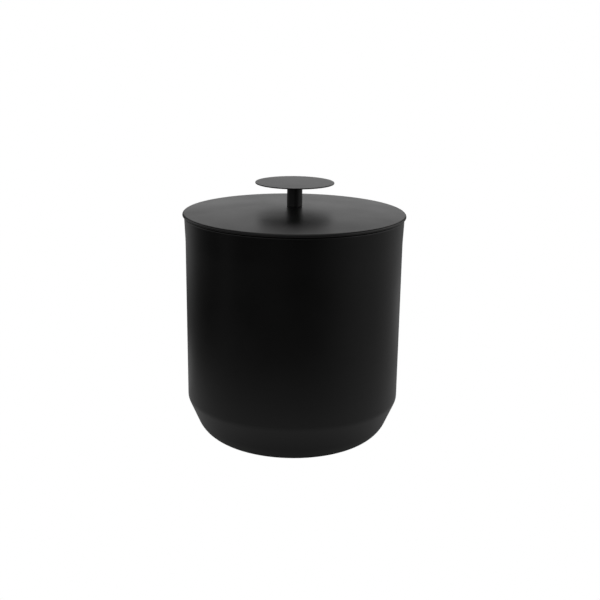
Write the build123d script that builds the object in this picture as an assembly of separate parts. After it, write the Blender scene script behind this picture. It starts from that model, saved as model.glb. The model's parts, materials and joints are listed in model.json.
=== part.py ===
from build123d import *

import os
from math import asin, degrees, radians, sqrt, tan

# Double-wall ice bucket with a lift-off lid, lifted by a thin disc on a short stem.
# Millimetres, +Z up, origin in the middle of the foot ring's underside.
# Nearly every piece is round about the Z axis: its section is drawn flat, as
# (radius, height), and turned() makes the solid.

# ---- driving dimensions ----------------------------------------------------------------
total_height = 190.0
lid_radius = 80.4
crown_height = 172.5  # the small flat in the middle of the lid
hem_bottom = 166.1  # underside of the lid's hemmed edge
knob_radius = 28.3
stem_radius = 5.5

shell_sheet = 0.8
liner_sheet = 0.7
cover_sheet = 0.8
pan_sheet = 0.6

foot_height = 1.0
crease_radius = 78.0  # where the wall turns in towards the base
crease_height = 30.7
base_cone_angle = 23.4  # degrees from the vertical
base_bend = 21.1
mouth_radius = 73.2
liner_floor = 14.7  # top of the floor that the ice lies on
rim_height = 165.7  # top of the bucket's rim

# ---- outer shell -----------------------------------------------------------------------
plug_hole_radius = 6.0
panel_height = 2.5  # underside of the raised panel in the middle of the base
panel_radius = 37.0
panel_step_radius = 39.0
crease_bend = 9.0
wall_top = 148.0  # above this height the wall flares out a little
wall_top_radius = 78.4
flare_bend = 120.0
rim_radius = 79.2
rim_bend = 0.9
rim_inner_radius = 74.6  # the shell's rim turns in over the liner's flange

# ---- inner liner -----------------------------------------------------------------------
liner_floor_radius = 71.2  # the wall's radius, carried down to the floor
liner_bend = 22.0
mouth_bend = 1.0
flange_radius = 77.8

# ---- foam and its filling plug ---------------------------------------------------------
foam_gap = 0.1
foam_top = 161.2
plug_radius = 8.5
plug_bottom = 1.2
plug_neck_gap = 0.1
plug_barb_radius = 7.0
plug_tip_radius = 5.0
plug_top = 5.8
plug_pocket_gap = 0.3

# ---- foot ring -------------------------------------------------------------------------
foot_inner_radius = 42.0
foot_outer_radius = 50.0
foot_edge = 0.3

# ---- lid cover -------------------------------------------------------------------------
screw_hole_radius = 2.75
crown_flat_radius = 6.0
edge_bend = 1.4  # rounds the dome over into the lid's edge
hem_bend = 0.9
hem_inner_radius = 74.2

# ---- lid pan ---------------------------------------------------------------------------
pan_bottom = 153.0
recess_height = 159.0  # underside of the recess that hides the screw's head
recess_top_radius = 11.5
recess_bottom_radius = 13.5
recess_bends = (1.0, 1.6)
skirt_radius = 71.3
skirt_top = 157.2
skirt_bends = (3.0, 1.0)
groove_radius = 70.5  # the seal's sleeve sits in this groove
groove_bottom = 158.0
groove_bends = (0.6, 0.5)
pan_flange_radius = 78.4

# ---- lid seal --------------------------------------------------------------------------
seal_gap = 0.1
sleeve_bottom = 158.3
sleeve_radius = 71.5
fin_heights = (159.2, 162.0)
fin_radius = 72.8
fin_rise = 1.0
fin_tip = 0.3
fin_root = 0.9
seal_gusset = 1.0
seal_lip_radius = 76.5
seal_lip_sheet = 0.38  # a hair less than the gap between the rim and the hem
seal_step_radius = 73.9
seal_corner = 0.6

# ---- lid insulation --------------------------------------------------------------------
insulation_radius = 69.6
insulation_corner = 3.0
insulation_gap = 0.2
insulation_recess_radius = 15.2
insulation_hole_radius = 5.8

# ---- knob and its fastening (M5) -------------------------------------------------------
knob_sheet = 0.8
knob_edge = 0.2
gasket_radius = 5.3
gasket_sheet = 0.4
stem_bore_radius = 2.5
stem_bore_depth = 11.1
spacer_radius = 5.0
screw_radius = 2.4
screw_length = 25.2
screw_head_radius = 4.6
screw_head_height = 3.0
screw_head_edge = 0.8
hex_socket_width = 3.0
hex_socket_depth = 2.0
washer_hole_radius = 2.65
flat_washer_radius = 5.2
flat_washer_sheet = 1.0
lock_washer_radius = 4.5
lock_washer_sheet = 1.2
lock_washer_split = 0.8
lock_washer_slant = 20.0  # degrees

# ---- heights that follow from the sizes above ------------------------------------------
seat_height = rim_height - shell_sheet
stem_bottom = crown_height + gasket_sheet
stem_top = total_height - knob_sheet
pan_flange_underside = hem_bottom + cover_sheet
recess_ceiling = recess_height + pan_sheet


def turned(section):
    """The solid that a section, drawn as (radius, height), makes about the Z axis."""
    return revolve(Plane.XZ * section, Axis.Z)


def sheet(line, thickness, side):
    """The section of a sheet: a line of its one surface, given a thickness to one side."""
    return make_face(offset(line, thickness, side=side, closed=True).edges())


def outline(*points):
    """A section with straight sides and sharp corners."""
    return make_face(Polyline(*points, close=True).edges())


def ring(inner_radius, outer_radius, bottom, top):
    """A plain ring, or a plain disc where inner_radius is 0."""
    return turned(
        outline(
            (inner_radius, bottom),
            (outer_radius, bottom),
            (outer_radius, top),
            (inner_radius, top),
        )
    )


def inside(line):
    """The section between the Z axis and a line that starts low and ends high."""
    start, end = line @ 0, line @ 1
    corners = [end, Vector(0, end.Y), Vector(0, start.Y)]
    if start.X > 0:
        corners.append(start)
    return make_face(line.edges() + Polyline(*corners).edges())


def shell_line():
    """The outer surface of the outer shell, from the plug hole to the turned-in rim."""
    base_corner = crease_radius - (crease_height - foot_height) * tan(radians(base_cone_angle))
    return FilletPolyline(
        (plug_hole_radius, panel_height),
        (panel_radius, panel_height),
        (panel_step_radius, foot_height),
        (base_corner, foot_height),
        (crease_radius, crease_height),
        (wall_top_radius, wall_top),
        (rim_radius, rim_height),
        (rim_inner_radius, rim_height),
        radius=[1.0, 2.0, base_bend, crease_bend, flare_bend, rim_bend],
    )


def liner_line():
    """The bright surface of the liner: floor, wall and the flange under the shell's rim."""
    return FilletPolyline(
        (0, liner_floor),
        (liner_floor_radius, liner_floor),
        (mouth_radius, seat_height),
        (flange_radius, seat_height),
        radius=[liner_bend, mouth_bend],
    )


def cavity_line():
    """The floor and wall of the space that holds the ice."""
    return FilletPolyline(
        (0, liner_floor),
        (liner_floor_radius, liner_floor),
        (mouth_radius, seat_height),
        radius=[liner_bend],
    )


def dome_radius():
    """The radius of the dome that runs smoothly from the flat in the middle into the edge."""
    reach = lid_radius - edge_bend - crown_flat_radius
    drop = crown_height - hem_bottom - hem_bend
    return (reach**2 + drop**2 - edge_bend**2) / (2 * (drop - edge_bend))


def dome_angle():
    """The dome's slope where it meets the bend at the lid's edge, in degrees."""
    reach = lid_radius - edge_bend - crown_flat_radius
    return degrees(asin(reach / (dome_radius() - edge_bend)))


def dome_underside(radius):
    """The height of the cover's underside at a radius on the dome."""
    reach = dome_radius() - cover_sheet
    return crown_height - dome_radius() + sqrt(reach**2 - (radius - crown_flat_radius) ** 2)


def outer_shell():
    return turned(sheet(shell_line(), shell_sheet, Side.LEFT))


def inner_liner():
    return turned(sheet(liner_line(), liner_sheet, Side.RIGHT))


def foam_insulation():
    """Foam poured into the space between the shell and the liner."""
    section = inside(shell_line()) - inside(cavity_line())
    section -= sheet(shell_line(), shell_sheet + foam_gap, Side.LEFT)
    section -= sheet(liner_line(), liner_sheet + foam_gap, Side.RIGHT)
    section &= outline((0, 0), (lid_radius, 0), (lid_radius, foam_top), (0, foam_top))
    pocket_radius = plug_barb_radius + plug_pocket_gap
    pocket_top = plug_top + plug_pocket_gap
    section -= outline((0, 0), (pocket_radius, 0), (pocket_radius, pocket_top), (0, pocket_top))
    return turned(section)


def filling_plug():
    """Rubber plug that closes the hole the foam was poured through."""
    neck_radius = plug_hole_radius - plug_neck_gap
    sheet_top = panel_height + shell_sheet
    return turned(
        outline(
            (0, plug_bottom),
            (plug_radius, plug_bottom),
            (plug_radius, panel_height),
            (neck_radius, panel_height),
            (neck_radius, sheet_top),
            (plug_barb_radius, sheet_top),
            (plug_tip_radius, plug_top),
            (0, plug_top),
        )
    )


def foot_ring():
    """Soft ring bonded to the base, with its lower edges rounded."""
    body = ring(foot_inner_radius, foot_outer_radius, 0, foot_height)
    return fillet(body.edges().group_by(Axis.Z)[0], foot_edge)


def lid_cover():
    """Domed lid sheet, with its edge folded under in a hem."""
    start = Line((screw_hole_radius, crown_height), (crown_flat_radius, crown_height))
    dome = JernArc(start @ 1, (1, 0), dome_radius(), -dome_angle())
    edge = JernArc(dome @ 1, dome % 1, edge_bend, dome_angle() - 90)
    fold = JernArc(edge @ 1, (0, -1), hem_bend, -90)
    leaf = Line(fold @ 1, (hem_inner_radius, hem_bottom))
    line = start + dome + edge + fold + leaf
    return turned(sheet(Wire(line.edges()), cover_sheet, Side.RIGHT))


def lid_pan():
    """Pressed pan under the lid: recess, floor, skirt, seal groove and hemmed-in flange."""
    line = FilletPolyline(
        (screw_hole_radius, recess_height),
        (recess_top_radius, recess_height),
        (recess_bottom_radius, pan_bottom),
        (skirt_radius, pan_bottom),
        (skirt_radius, skirt_top),
        (groove_radius, groove_bottom),
        (groove_radius, pan_flange_underside),
        (pan_flange_radius, pan_flange_underside),
        radius=[*recess_bends, *skirt_bends, *groove_bends],
    )
    return turned(sheet(line, pan_sheet, Side.LEFT))


def lid_seal():
    """Soft ring in the pan's groove: a sleeve with two fins, and a lip on the bucket's rim."""
    inner_radius = groove_radius + seal_gap
    points = [(inner_radius, sleeve_bottom), (sleeve_radius, sleeve_bottom)]
    for height in fin_heights:
        points += [
            (sleeve_radius, height),
            (fin_radius, height + fin_rise),
            (fin_radius, height + fin_rise + fin_tip),
            (sleeve_radius, height + fin_root),
        ]
    points += [
        (sleeve_radius, rim_height - seal_gusset),
        (sleeve_radius + seal_gusset, rim_height),
        (seal_lip_radius, rim_height),
        (seal_lip_radius, rim_height + seal_lip_sheet),
        (seal_step_radius, rim_height + seal_lip_sheet),
        (seal_step_radius, pan_flange_underside),
        (inner_radius + seal_corner, pan_flange_underside),
        (inner_radius, pan_flange_underside - seal_corner),
    ]
    return turned(outline(*points))


def lid_insulation():
    """Foam disc between the cover and the pan, with a hole for the spacer tube."""
    floor = pan_bottom + pan_sheet
    step = recess_ceiling + seal_corner
    sides = FilletPolyline(
        (insulation_hole_radius, dome_underside(insulation_hole_radius) - insulation_gap),
        (insulation_hole_radius, step),
        (insulation_recess_radius, step),
        (insulation_recess_radius, floor),
        (insulation_radius, floor),
        (insulation_radius, dome_underside(insulation_radius) - insulation_gap),
        radius=[0, 0, 0, insulation_corner],
    )
    middle_radius = (insulation_hole_radius + insulation_radius) / 2
    middle = (middle_radius, dome_underside(middle_radius) - insulation_gap)
    top = ThreePointArc(sides @ 0, middle, sides @ 1)
    return turned(make_face(sides.edges() + top.edges()))


def spacer_tube():
    """Tube that keeps the cover from being pulled in when the screw is tightened."""
    return ring(screw_hole_radius, spacer_radius, recess_ceiling, crown_height - cover_sheet)


def knob_gasket():
    return ring(screw_hole_radius, gasket_radius, crown_height, stem_bottom)


def knob_stem():
    """Round stem with a blind tapped hole for the screw."""
    stem = ring(0, stem_radius, stem_bottom, stem_top)
    return stem - ring(0, stem_bore_radius, stem_bottom, stem_bottom + stem_bore_depth)


def knob_disc():
    """Thin flat disc brazed to the top of the stem, with its edges broken."""
    disc = ring(0, knob_radius, stem_top, total_height)
    return fillet(disc.edges().filter_by(GeomType.CIRCLE), knob_edge)


def washer_bottoms():
    """The undersides of the flat washer and of the lock washer below it."""
    flat_bottom = recess_height - flat_washer_sheet
    return flat_bottom, flat_bottom - lock_washer_sheet


def flat_washer():
    flat_bottom, _ = washer_bottoms()
    return ring(washer_hole_radius, flat_washer_radius, flat_bottom, recess_height)


def lock_washer():
    """Spring washer, split by a slanted cut."""
    flat_bottom, lock_bottom = washer_bottoms()
    washer = ring(washer_hole_radius, lock_washer_radius, lock_bottom, flat_bottom)
    middle = (lock_washer_radius, 0, (flat_bottom + lock_bottom) / 2)
    cutter = Box(2 * lock_washer_radius, lock_washer_split, 3 * lock_washer_sheet)
    return washer - Pos(*middle) * Rot(lock_washer_slant, 0, 0) * cutter


def knob_screw():
    """Screw with a hexagon socket, put in from below."""
    _, lock_bottom = washer_bottoms()
    head_bottom = lock_bottom - screw_head_height
    head = ring(0, screw_head_radius, head_bottom, lock_bottom)
    head = fillet(head.edges().group_by(Axis.Z)[0], screw_head_edge)
    screw = head + ring(0, screw_radius, lock_bottom, lock_bottom + screw_length)
    socket = RegularPolygon(hex_socket_width / 2, 6, major_radius=False)
    return screw - extrude(Pos(0, 0, head_bottom) * socket, hex_socket_depth)


pieces = [
    outer_shell,
    inner_liner,
    foam_insulation,
    filling_plug,
    foot_ring,
    lid_seal,
    lid_cover,
    lid_pan,
    lid_insulation,
    spacer_tube,
    knob_gasket,
    knob_stem,
    knob_disc,
    knob_screw,
    flat_washer,
    lock_washer,
]

os.makedirs("parts", exist_ok=True)
for piece in pieces:
    export_step(piece(), f"parts/{piece.__name__}.step")
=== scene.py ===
import json
import math
from collections import namedtuple

import bmesh
import bpy
from mathutils import Matrix, Vector


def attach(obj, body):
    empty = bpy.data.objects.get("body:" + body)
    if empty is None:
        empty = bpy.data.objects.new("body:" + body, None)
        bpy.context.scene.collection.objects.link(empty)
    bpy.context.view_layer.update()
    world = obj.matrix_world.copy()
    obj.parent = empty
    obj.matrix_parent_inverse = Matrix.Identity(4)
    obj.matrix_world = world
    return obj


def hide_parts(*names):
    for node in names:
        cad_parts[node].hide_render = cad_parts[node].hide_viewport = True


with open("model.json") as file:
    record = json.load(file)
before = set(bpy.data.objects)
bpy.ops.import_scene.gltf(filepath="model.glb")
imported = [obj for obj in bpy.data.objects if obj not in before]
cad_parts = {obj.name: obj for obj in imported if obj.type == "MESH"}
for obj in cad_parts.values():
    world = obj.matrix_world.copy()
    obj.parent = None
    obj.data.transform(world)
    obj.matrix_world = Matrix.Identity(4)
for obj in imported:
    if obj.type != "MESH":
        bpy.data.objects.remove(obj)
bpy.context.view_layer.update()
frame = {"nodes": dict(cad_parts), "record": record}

# A matt black double-wall ice bucket with a domed lid and a disc knob.
# Metres, +Z up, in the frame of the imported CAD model. Each round piece is turned again from
# the section of its CAD node, as clean quads, so that its curves shade smoothly.

MM = 0.001

# Turned pieces. A ring is one turn of an outline's point about the axis.
SEGMENTS = 240  # round a full turn
SAME_PLACE = 1e-7  # points nearer than this are one point
SHARP_CORNER = math.radians(12)  # a corner that turns by more than this is rounded
CORNER_TRIM = 0.12 * MM  # how far from a sharp corner its rounding begins
LARGEST_TRIM = 0.35  # the most of a run that the rounding at one end takes
CORNER_SHARES = (0.25, 0.5, 0.75)  # where the rings of a rounded corner are on its curve
ARC_STEP = math.radians(4)  # the most that a curve turns from ring to ring
LONGEST_STEP = 6 * MM  # the most that two rings lie apart
HOLD = 0.3 * MM  # from the end of a long run to the ring that keeps its shading even
HOLD_FROM = 1.5 * MM  # a run longer than this is a long one
SPLIT_SHADING = math.radians(40)  # an edge that turns by more than this is not shaded smoothly

# Camera, in millimetres and degrees.
CAMERA_SENSOR = 36.0
CAMERA_LENS = 63.46
CAMERA_PLACE = (3.4, -751.8, 308.9)
CAMERA_YAW = -0.11
CAMERA_DIP = 15.35  # below level
CAMERA_ROLL = 0.78

# Light. Each row is a softly edged patch, between two turns and between two radii on the
# floor or two elevations in the surroundings. A turn is an angle from straight behind the
# bucket towards the right, and all the angles are in degrees. A negative power takes light
# away.
FLOOR_REACH = 12.0  # from the middle of the floor to its sides
POOL_RADIUS = 0.24  # of the painted pool of light on the floor round the bucket
POOL_POWER = 0.33
# The floor's patches are painted light in its glow, and a patch with negative power is painted shade.
FLOOR_PATCHES = (  # left, right, softness, inner radius, outer radius, softness, power
    (-58, -20, 5, 0.52, 3.0, 0.08, 0.16),  # behind, on the left
    (20, 46, 5, 0.40, 3.0, 0.08, 0.08),  # behind, on the right
    (-114, -107, 3, 0.40, 1.5, 0.08, 0.18),  # a streak on the left
    (-60, -20, 6, 0.085, 0.27, 0.04, 0.13),  # near the bucket, behind on the left
    (-92, -56, 6, 0.22, 0.50, 0.06, -0.045),  # painted shade: a dim place on the left
    (30, 56, 5, 0.28, 0.50, 0.06, 0.12),  # behind, on the right, nearer
)
BEYOND = 400  # past every turn
PANELS = (  # left, right, softness, lowest elevation, highest elevation, softness, power
    (-18, 22, 12, -10, 40, 3, 0.68),  # backdrop
    (-62, -42, 4, -10, 28, 3, 0.66),  # left wing of the backdrop
    (40, 64, 4, -10, 28, 3, 0.73),  # right wing of the backdrop
    (64, 124, 6, -10, 34, 4, 0.84),  # right softbox
    (-172, -64, 6, -10, 34, 4, 0.42),  # left softbox
    (-BEYOND, BEYOND, 1, 64, 100, 4, 0.65),  # ceiling
    (-BEYOND, BEYOND, 1, 44, 64, 4, 0.12),  # the room between the walls' and the ceiling's lights
    (124, BEYOND, 6, 6, 34, 4, 0.30),  # room in front, on the right
    (-BEYOND, -166, 6, 6, 34, 4, 0.30),  # room in front, on the left
)

NOT_ROUND = ("lock_washer", "knob_screw")  # CAD nodes that keep their own mesh


# ---- helpers -----------------------------------------------------------------------------

def add_object(name, data):
    """A new object with this data, in the scene."""
    added = bpy.data.objects.new(name, data)
    bpy.context.scene.collection.objects.link(added)
    return added


class Nodes:
    """Short calls for adding and joining the shader nodes of one material or world."""

    def __init__(self, owner):
        owner.use_nodes = True
        self.tree = owner.node_tree
        self.tree.nodes.clear()

    def add(self, kind, inputs=None, **settings):
        """A node with its inputs set to numbers or colours, or linked to other nodes' outputs."""
        node = self.tree.nodes.new(kind)
        for name, value in settings.items():
            setattr(node, name, value)
        for name, value in (inputs or {}).items():
            if isinstance(value, bpy.types.NodeSocket):
                self.tree.links.new(value, node.inputs[name])
            else:
                node.inputs[name].default_value = value
        return node

    def math(self, operation, a, b=0.0):
        return self.add("ShaderNodeMath", {0: a, 1: b}, operation=operation).outputs[0]

    def noise(self, vector, scale, detail, roughness=0.5):
        inputs = {"Vector": vector, "Scale": scale, "Detail": detail, "Roughness": roughness}
        return self.add("ShaderNodeTexNoise", inputs).outputs["Fac"]

    def spread(self, value, low, high, from_low=0.0, from_high=1.0, smooth=False):
        """value, from from_low..from_high, spread over low..high."""
        return self.add("ShaderNodeMapRange", {
            "Value": value,
            "From Min": from_low, "From Max": from_high,
            "To Min": low, "To Max": high,
        }, interpolation_type="SMOOTHSTEP" if smooth else "LINEAR").outputs["Result"]

    def vary(self, noise, low, high):
        """low to high by a noise, which lies between 0.3 and 0.7 nearly everywhere."""
        return self.spread(noise, low, high, from_low=0.3, from_high=0.7)

    def window(self, value, low, high, soft):
        """1 where value lies between low and high, falling off over soft beside each."""
        rise = self.spread(value, 0, 1, low - soft, low + soft, smooth=True)
        fall = self.spread(value, 1, 0, high - soft, high + soft, smooth=True)
        return self.math("MULTIPLY", rise, fall)

    def tint(self, value, dark, light):
        """A colour between two, by value."""
        node = self.add("ShaderNodeMix", data_type="RGBA")
        node.inputs[6].default_value = (*dark, 1)
        node.inputs[7].default_value = (*light, 1)
        self.tree.links.new(value, node.inputs[0])
        return node.outputs[2]

    def bump(self, height, distance, strength):
        inputs = {"Height": height, "Distance": distance, "Strength": strength}
        return self.add("ShaderNodeBump", inputs).outputs["Normal"]

    def vector(self, x, y, z=0.0):
        return self.add("ShaderNodeCombineXYZ", {"X": x, "Y": y, "Z": z}).outputs[0]

    def parts(self, vector):
        """A vector's X, Y and Z."""
        return self.add("ShaderNodeSeparateXYZ", {0: vector}).outputs

    def place(self):
        return self.add("ShaderNodeTexCoord").outputs["Object"]

    def about_axis(self, place):
        """The distance from the bucket's axis, and the direction from it as X and Y."""
        xyz = self.parts(place)
        flat = self.vector(xyz["X"], xyz["Y"])
        radius = self.add("ShaderNodeVectorMath", {0: flat}, operation="LENGTH").outputs["Value"]
        way = self.add("ShaderNodeVectorMath", {0: flat}, operation="NORMALIZE").outputs[0]
        return radius, self.parts(way)

    def surface(self, inputs):
        """Ends a material with a principled shader."""
        self.output(self.add("ShaderNodeBsdfPrincipled", inputs).outputs[0])

    def output(self, shader, kind="ShaderNodeOutputMaterial"):
        self.add(kind, {"Surface": shader})


# ---- camera ------------------------------------------------------------------------------

def add_camera():
    """The photograph's view: from the front, a little above, with a slight roll."""
    data = bpy.data.cameras.new("camera")
    data.sensor_width = CAMERA_SENSOR
    data.lens = CAMERA_LENS
    data.clip_start = 10 * MM
    camera = add_object("camera", data)
    place = Matrix.Translation([distance * MM for distance in CAMERA_PLACE])
    yaw = Matrix.Rotation(math.radians(CAMERA_YAW), 4, "Z")
    tilt = Matrix.Rotation(math.radians(90 - CAMERA_DIP), 4, "X")
    roll = Matrix.Rotation(math.radians(CAMERA_ROLL), 4, "Z")
    camera.matrix_world = place @ yaw @ tilt @ roll
    bpy.context.scene.camera = camera


# ---- materials ---------------------------------------------------------------------------

def black_powder_coat():
    """Fine-textured matt black powder coat: a tiny grain, and smudges in sheen and tone."""
    material = bpy.data.materials.new("matt_black_coat")
    nodes = Nodes(material)
    place = nodes.place()
    grain = nodes.noise(place, scale=3200, detail=3)
    orange_peel = nodes.noise(place, scale=700, detail=2)
    smudge = nodes.noise(place, scale=28, detail=3)
    height = nodes.math("ADD", grain, nodes.math("MULTIPLY", orange_peel, 0.8))
    sheen = nodes.math("ADD", nodes.math("MULTIPLY", grain, 0.6), nodes.math("MULTIPLY", smudge, 0.4))
    nodes.surface({
        "Base Color": nodes.tint(smudge, (0.0016, 0.0016, 0.0016), (0.0026, 0.0026, 0.0026)),
        "Roughness": nodes.vary(sheen, 0.30, 0.42),
        "IOR": 1.5,
        "Normal": nodes.bump(height, distance=0.006 * MM, strength=0.5),
    })
    return material


def brushed_stainless():
    """Stainless steel brushed in rings about the bucket's axis."""
    material = bpy.data.materials.new("ring_brushed_steel")
    nodes = Nodes(material)
    place = nodes.place()
    radius, way = nodes.about_axis(place)
    across_rings = nodes.math("ADD", radius, nodes.parts(place)["Z"])

    def rings(per_metre):
        """A place in a noise that changes fast across the rings and slowly along them."""
        return nodes.vector(way["X"], way["Y"], nodes.math("MULTIPLY", across_rings, per_metre))

    fine = nodes.noise(rings(4200.0), scale=1.6, detail=4, roughness=0.65)
    broad = nodes.noise(rings(500.0), scale=1.1, detail=3)
    streaks = nodes.math("ADD", nodes.math("MULTIPLY", fine, 0.7), nodes.math("MULTIPLY", broad, 0.3))
    nodes.surface({
        "Base Color": nodes.tint(streaks, (0.62, 0.61, 0.59), (0.78, 0.77, 0.75)),
        "Metallic": 1.0,
        "Roughness": nodes.vary(streaks, 0.20, 0.40),
        "Anisotropic": 0.5,
        "Normal": nodes.bump(fine, distance=0.004 * MM, strength=0.6),
        "Tangent": nodes.add("ShaderNodeTangent", direction_type="RADIAL", axis="Z").outputs[0],
    })
    return material


def plain_steel(name, dark, light, roughness):
    """Small turned or plated steel pieces: faint mottling and a fine grain."""
    material = bpy.data.materials.new(name)
    nodes = Nodes(material)
    place = nodes.place()
    mottle = nodes.noise(place, scale=420, detail=4)
    grain = nodes.noise(place, scale=5200, detail=2)
    nodes.surface({
        "Base Color": nodes.tint(mottle, dark, light),
        "Metallic": 1.0,
        "Roughness": nodes.vary(mottle, roughness - 0.06, roughness + 0.08),
        "Normal": nodes.bump(grain, distance=0.003 * MM, strength=0.4),
    })
    return material


def soft_rubber(name, dark, light, roughness):
    """Silicone or rubber: matt, with a fine moulded grain and a little bloom."""
    material = bpy.data.materials.new(name)
    nodes = Nodes(material)
    place = nodes.place()
    bloom = nodes.noise(place, scale=90, detail=4)
    grain = nodes.noise(place, scale=4200, detail=2)
    nodes.surface({
        "Base Color": nodes.tint(bloom, dark, light),
        "Roughness": nodes.vary(bloom, roughness - 0.05, roughness + 0.1),
        "IOR": 1.43,
        "Normal": nodes.bump(grain, distance=0.01 * MM, strength=0.5),
    })
    return material


def insulation_foam():
    """Closed-cell foam with small round cells."""
    material = bpy.data.materials.new("closed_cell_foam")
    nodes = Nodes(material)
    place = nodes.place()
    cells = nodes.add("ShaderNodeTexVoronoi", {"Vector": place, "Scale": 1500.0}).outputs["Distance"]
    cloud = nodes.noise(place, scale=60, detail=3)
    nodes.surface({
        "Base Color": nodes.tint(cloud, (0.66, 0.54, 0.30), (0.80, 0.70, 0.46)),
        "Roughness": nodes.spread(cells, 0.75, 0.95),
        "Normal": nodes.bump(cells, distance=0.15 * MM, strength=0.6),
    })
    return material


# ---- floor and surroundings --------------------------------------------------------------

def with_patches(nodes, light, turn, reach, patches):
    """light with softly edged patches added. reach is a radius or an elevation."""
    for left, right, soft_turn, low, high, soft_reach, power in patches:
        patch = nodes.math("MULTIPLY", nodes.window(turn, left, right, soft_turn), power)
        patch = nodes.math("MULTIPLY", patch, nodes.window(reach, low, high, soft_reach))
        light = nodes.math("ADD", light, patch)
    return light


def turn_of(nodes, way):
    """A direction's turn from straight behind the bucket towards the right, in degrees."""
    return nodes.math("DEGREES", nodes.math("ARCTAN2", way["X"], way["Y"]))


def white_to_camera(nodes, kind, light):
    """A glow as strong as light, which the camera itself sees as plain white."""
    glow = nodes.add(kind, {"Color": (1, 1, 1, 1), "Strength": light}).outputs[0]
    white = nodes.add(kind, {"Color": (1, 1, 1, 1), "Strength": 1.0}).outputs[0]
    from_camera = nodes.add("ShaderNodeLightPath").outputs["Is Camera Ray"]
    return nodes.add("ShaderNodeMixShader", {0: from_camera, 1: glow, 2: white}).outputs[0]


def floor_light(nodes):
    """A painted pool of light round the bucket, a weaker painted glow beyond it, and the painted
    patches.
    """
    radius, way = nodes.about_axis(nodes.place())
    fading = nodes.math("POWER", nodes.math("DIVIDE", radius, POOL_RADIUS), 4.0)
    painted_light_pool = nodes.math("POWER", math.e, nodes.math("MULTIPLY", fading, -1.0))
    # Painted shade: the floor's glow is made dimmer round the bucket's foot, and dark under the base.
    painted_foot_shade = nodes.spread(radius, 0.35, 1.0, from_low=0.055, from_high=0.105, smooth=True)
    painted_contact_shadow = nodes.spread(radius, 0.0, 1.0, from_low=0.052, from_high=0.070, smooth=True)
    painted_shaded_pool = nodes.math("MULTIPLY", painted_light_pool, nodes.math("MULTIPLY", painted_foot_shade, painted_contact_shadow))
    near = nodes.math("MULTIPLY", painted_shaded_pool, POOL_POWER)
    # Beyond the pool the floor has a little painted glow behind the bucket and on its right.
    behind = nodes.spread(way["Y"], 0.02, 0.15, from_low=-0.2, from_high=0.9, smooth=True)
    right = nodes.spread(way["X"], 0.0, 0.15, from_low=0.2, from_high=1.05, smooth=True)
    beyond_pool = nodes.math("SUBTRACT", 1.0, painted_light_pool)
    far = nodes.math("MULTIPLY", beyond_pool, nodes.math("ADD", behind, right))
    # The floor's painted light: the painted pool with its painted shade, and the painted glow beyond
    # it.
    light = nodes.math("ADD", near, far)
    return with_patches(nodes, light, turn_of(nodes, way), radius, FLOOR_PATCHES)


def add_floor():
    """A plain pale floor: white to the camera, and with a soft painted pool of light where it is
    reflected.
    """
    corners = ((-1, -1), (1, -1), (1, 1), (-1, 1))
    mesh = bpy.data.meshes.new("floor")
    shape = bmesh.new()
    shape.faces.new([shape.verts.new((x * FLOOR_REACH, y * FLOOR_REACH, 0)) for x, y in corners])
    shape.to_mesh(mesh)
    shape.free()
    floor = add_object("floor", mesh)
    material = bpy.data.materials.new("pale_floor")
    nodes = Nodes(material)
    nodes.output(white_to_camera(nodes, "ShaderNodeEmission", floor_light(nodes)))
    mesh.materials.append(material)


def add_world():
    """Studio surroundings: white to the camera, and soft panels of light where reflected."""
    world = bpy.data.worlds.new("studio")
    bpy.context.scene.world = world
    nodes = Nodes(world)
    way = nodes.parts(nodes.add("ShaderNodeTexCoord").outputs["Generated"])
    elevation = nodes.math("DEGREES", nodes.math("ARCSINE", way["Z"]))
    light = with_patches(nodes, 0.0, turn_of(nodes, way), elevation, PANELS)
    nodes.output(white_to_camera(nodes, "ShaderNodeBackground", light), "ShaderNodeOutputWorld")


# ---- turned pieces -----------------------------------------------------------------------

# One straight stretch or curve of a section, between (radius, height) points, and the
# surface normals at its ends.
Run = namedtuple("Run", "start end start_normal end_normal")


def seam_edges(mesh):
    """A round mesh's seam: its edges in the plane y = 0, on the +X side.

    Gives the seam's points and, for each point's number, the numbers of the points that it is
    joined to, with the surface normals at this end and at the other.
    """
    points, numbers, joined = [], {}, {}

    def number_of(place):
        key = (round(place.x / SAME_PLACE), round(place.z / SAME_PLACE))
        if key not in numbers:
            numbers[key] = len(points)
            points.append(Vector((place.x, place.z)))
        return numbers[key]

    for face in mesh.polygons:
        loops = list(face.loop_indices)
        for pair in zip(loops, loops[1:] + loops[:1]):
            ends = [mesh.vertices[mesh.loops[loop].vertex_index].co for loop in pair]
            if any(abs(end.y) > SAME_PLACE or end.x < 0 for end in ends):
                continue
            one, other = (number_of(end) for end in ends)
            if one == other:
                continue
            normals = [mesh.corner_normals[loop].vector for loop in pair]
            normals = [Vector((normal.x, normal.z)).normalized() for normal in normals]
            joined.setdefault(one, {})[other] = (normals[0], normals[1])
            joined.setdefault(other, {})[one] = (normals[1], normals[0])
    return points, joined


def section_of(node):
    """The section of a round CAD node as runs, in order.

    A section that reaches the axis starts and ends on it, and any other is a closed ring.
    """
    points, joined = seam_edges(frame["nodes"][node].data)
    tips = [number for number, others in joined.items() if len(others) == 1]
    here = first = min(tips or joined, key=lambda number: points[number].y)
    seen, runs = {here}, []
    while True:
        onward = [number for number in joined[here] if number not in seen]
        if not onward:
            break
        there = min(onward)
        runs.append(Run(points[here], points[there], *joined[here][there]))
        seen.add(there)
        here = there
    if not tips:
        return [*runs, Run(points[here], points[first], *joined[here][first])]
    start, end = points[first], points[here]
    up = Vector((0, 1))
    return [Run(Vector((0, start.y)), start, up, up), *runs, Run(end, Vector((0, end.y)), up, up)]


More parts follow.
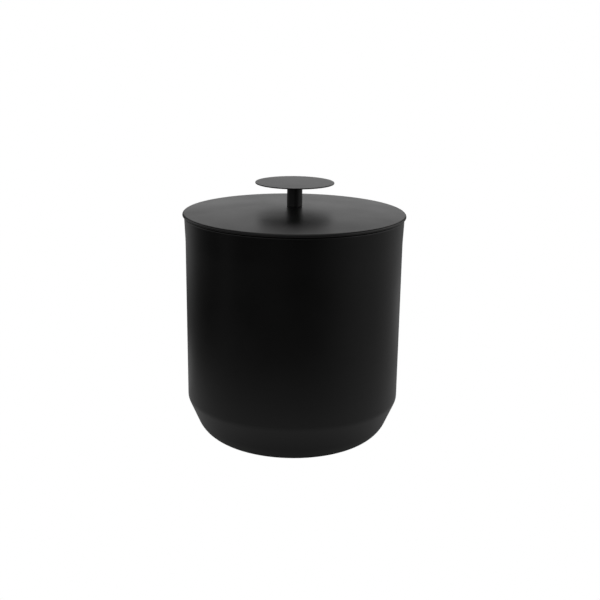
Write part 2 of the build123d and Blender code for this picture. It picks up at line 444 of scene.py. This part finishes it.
def along(run, share):
    """A point on a run, which leaves and arrives square to the surface normals."""
    chord = run.end - run.start
    slopes = []
    for normal in (run.start_normal, run.end_normal):
        slope = Vector((normal.y, -normal.x))
        slopes.append(slope * math.copysign(chord.length, slope.dot(chord)))
    s = share
    return (run.start * (2 * s**3 - 3 * s**2 + 1) + slopes[0] * (s**3 - 2 * s**2 + s)
            + run.end * (3 * s**2 - 2 * s**3) + slopes[1] * (s**3 - s**2))


def is_sharp(before, after):
    """Whether two runs meet in a sharp corner."""
    arriving, leaving = before.end_normal, after.start_normal
    return abs(arriving.cross(leaving)) > math.sin(SHARP_CORNER) or arriving.dot(leaving) < 0


def trim_of(run):
    """The share of a run that the rounding of a sharp corner takes."""
    return min(CORNER_TRIM / (run.end - run.start).length, LARGEST_TRIM)


def rounded_corner(before, after):
    """The points of the curve that rounds the corner between two runs."""
    arriving, leaving = along(before, 1 - trim_of(before)), along(after, trim_of(after))
    corner = after.start
    return [
        arriving * (1 - s) ** 2 + corner * 2 * s * (1 - s) + leaving * s ** 2
        for s in CORNER_SHARES
    ]


def shares_of(run, low, high):
    """Where the rings of a run are, as shares from low to high."""
    length = (run.end - run.start).length
    turn = 0.0
    if run.start_normal.dot(run.end_normal) > 0:
        turn = abs(run.start_normal.angle(run.end_normal))
    steps = max(math.ceil(turn / ARC_STEP), math.ceil(length / LONGEST_STEP), 1)
    shares = [low + (high - low) * step / steps for step in range(steps + 1)]
    if length > HOLD_FROM:
        hold = HOLD / length
        shares = [low, low + hold, *shares[1:-1], high - hold, high]
    return shares


def outline_of(node):
    """The section of a round CAD node as points, with its sharp corners rounded."""
    runs = section_of(node)
    closed = runs[0].start.x > SAME_PLACE
    outline = []
    for i, run in enumerate(runs):
        before, after = runs[i - 1], runs[(i + 1) % len(runs)]
        is_first = i == 0 and not closed
        is_last = i == len(runs) - 1 and not closed
        starts_sharp = not is_first and is_sharp(before, run)
        ends_sharp = not is_last and is_sharp(run, after)
        if starts_sharp:
            outline.extend(rounded_corner(before, run))
        low = trim_of(run) if starts_sharp else 0.0
        high = 1 - trim_of(run) if ends_sharp else 1.0
        shares = shares_of(run, low, high)
        if not ends_sharp and not is_last:
            shares.pop()  # the next run starts with this point
        outline.extend(along(run, share) for share in shares)
    return [(max(point.x, 0.0), point.y) for point in outline]


def turned(name, outline):
    """A mesh object: the outline turned about the Z axis, in quads.

    An outline that starts and ends on the axis has a fan of triangles there, and any other
    is closed into a ring.
    """
    turns = [2 * math.pi * i / SEGMENTS for i in range(SEGMENTS)]
    shape = bmesh.new()
    rings = []
    for radius, height in outline:
        places = [(radius * math.cos(turn), radius * math.sin(turn), height) for turn in turns]
        if radius < SAME_PLACE:
            places = [(0, 0, height)]
        rings.append([shape.verts.new(place) for place in places])
    pairs = list(zip(rings, rings[1:]))
    if len(rings[0]) > 1:
        pairs.append((rings[-1], rings[0]))
    for low, high in pairs:
        for i in range(SEGMENTS):
            j = (i + 1) % SEGMENTS
            corners = [low[i % len(low)], low[j % len(low)], high[j % len(high)], high[i % len(high)]]
            shape.faces.new(list(dict.fromkeys(corners)))
    bmesh.ops.recalc_face_normals(shape, faces=shape.faces)
    mesh = bpy.data.meshes.new(name)
    shape.to_mesh(mesh)
    shape.free()
    mesh.shade_smooth()
    mesh.set_sharp_from_angle(angle=SPLIT_SHADING)
    return add_object(name, mesh)


def stand_in(piece, body, node, material):
    """Gives a piece its material and its body, and hides the CAD node that it stands for."""
    piece.data.materials.append(material)
    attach(piece, body)
    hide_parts(node)


# ---- the bucket --------------------------------------------------------------------------

add_camera()
add_world()
add_floor()

scene = bpy.context.scene
scene.view_settings.view_transform = "Standard"
scene.view_settings.look = "None"

# The look of each material slot of the record.
LOOKS = {
    "black_powder_coat": black_powder_coat(),
    "brushed_stainless": brushed_stainless(),
    "stainless_fastener": plain_steel("turned_steel", (0.48, 0.47, 0.45), (0.60, 0.59, 0.57), 0.30),
    "zinc_plated_steel": plain_steel("zinc_plating", (0.46, 0.48, 0.50), (0.60, 0.62, 0.64), 0.38),
    "black_silicone": soft_rubber(
        "moulded_black_silicone", (0.010, 0.010, 0.010), (0.018, 0.018, 0.018), 0.60),
    "grey_silicone": soft_rubber(
        "moulded_grey_silicone", (0.035, 0.035, 0.037), (0.050, 0.050, 0.052), 0.55),
    "black_rubber": soft_rubber(
        "moulded_black_rubber", (0.012, 0.012, 0.012), (0.022, 0.022, 0.022), 0.65),
    "insulation_foam": insulation_foam(),
}
record = frame["record"]
slot_of = {subpart["node"]: subpart["material_slot"] for subpart in record["subparts"]}

for body, members in record["behaviour"]["bodies"].items():
    for node in members:
        look = LOOKS[slot_of[node]]
        if node in NOT_ROUND:
            carried = frame["nodes"][node]
            carried.data.materials.clear()
            carried.data.materials.append(look)
            continue
        stand_in(turned(node + "_turned", outline_of(node)), body, node, look)
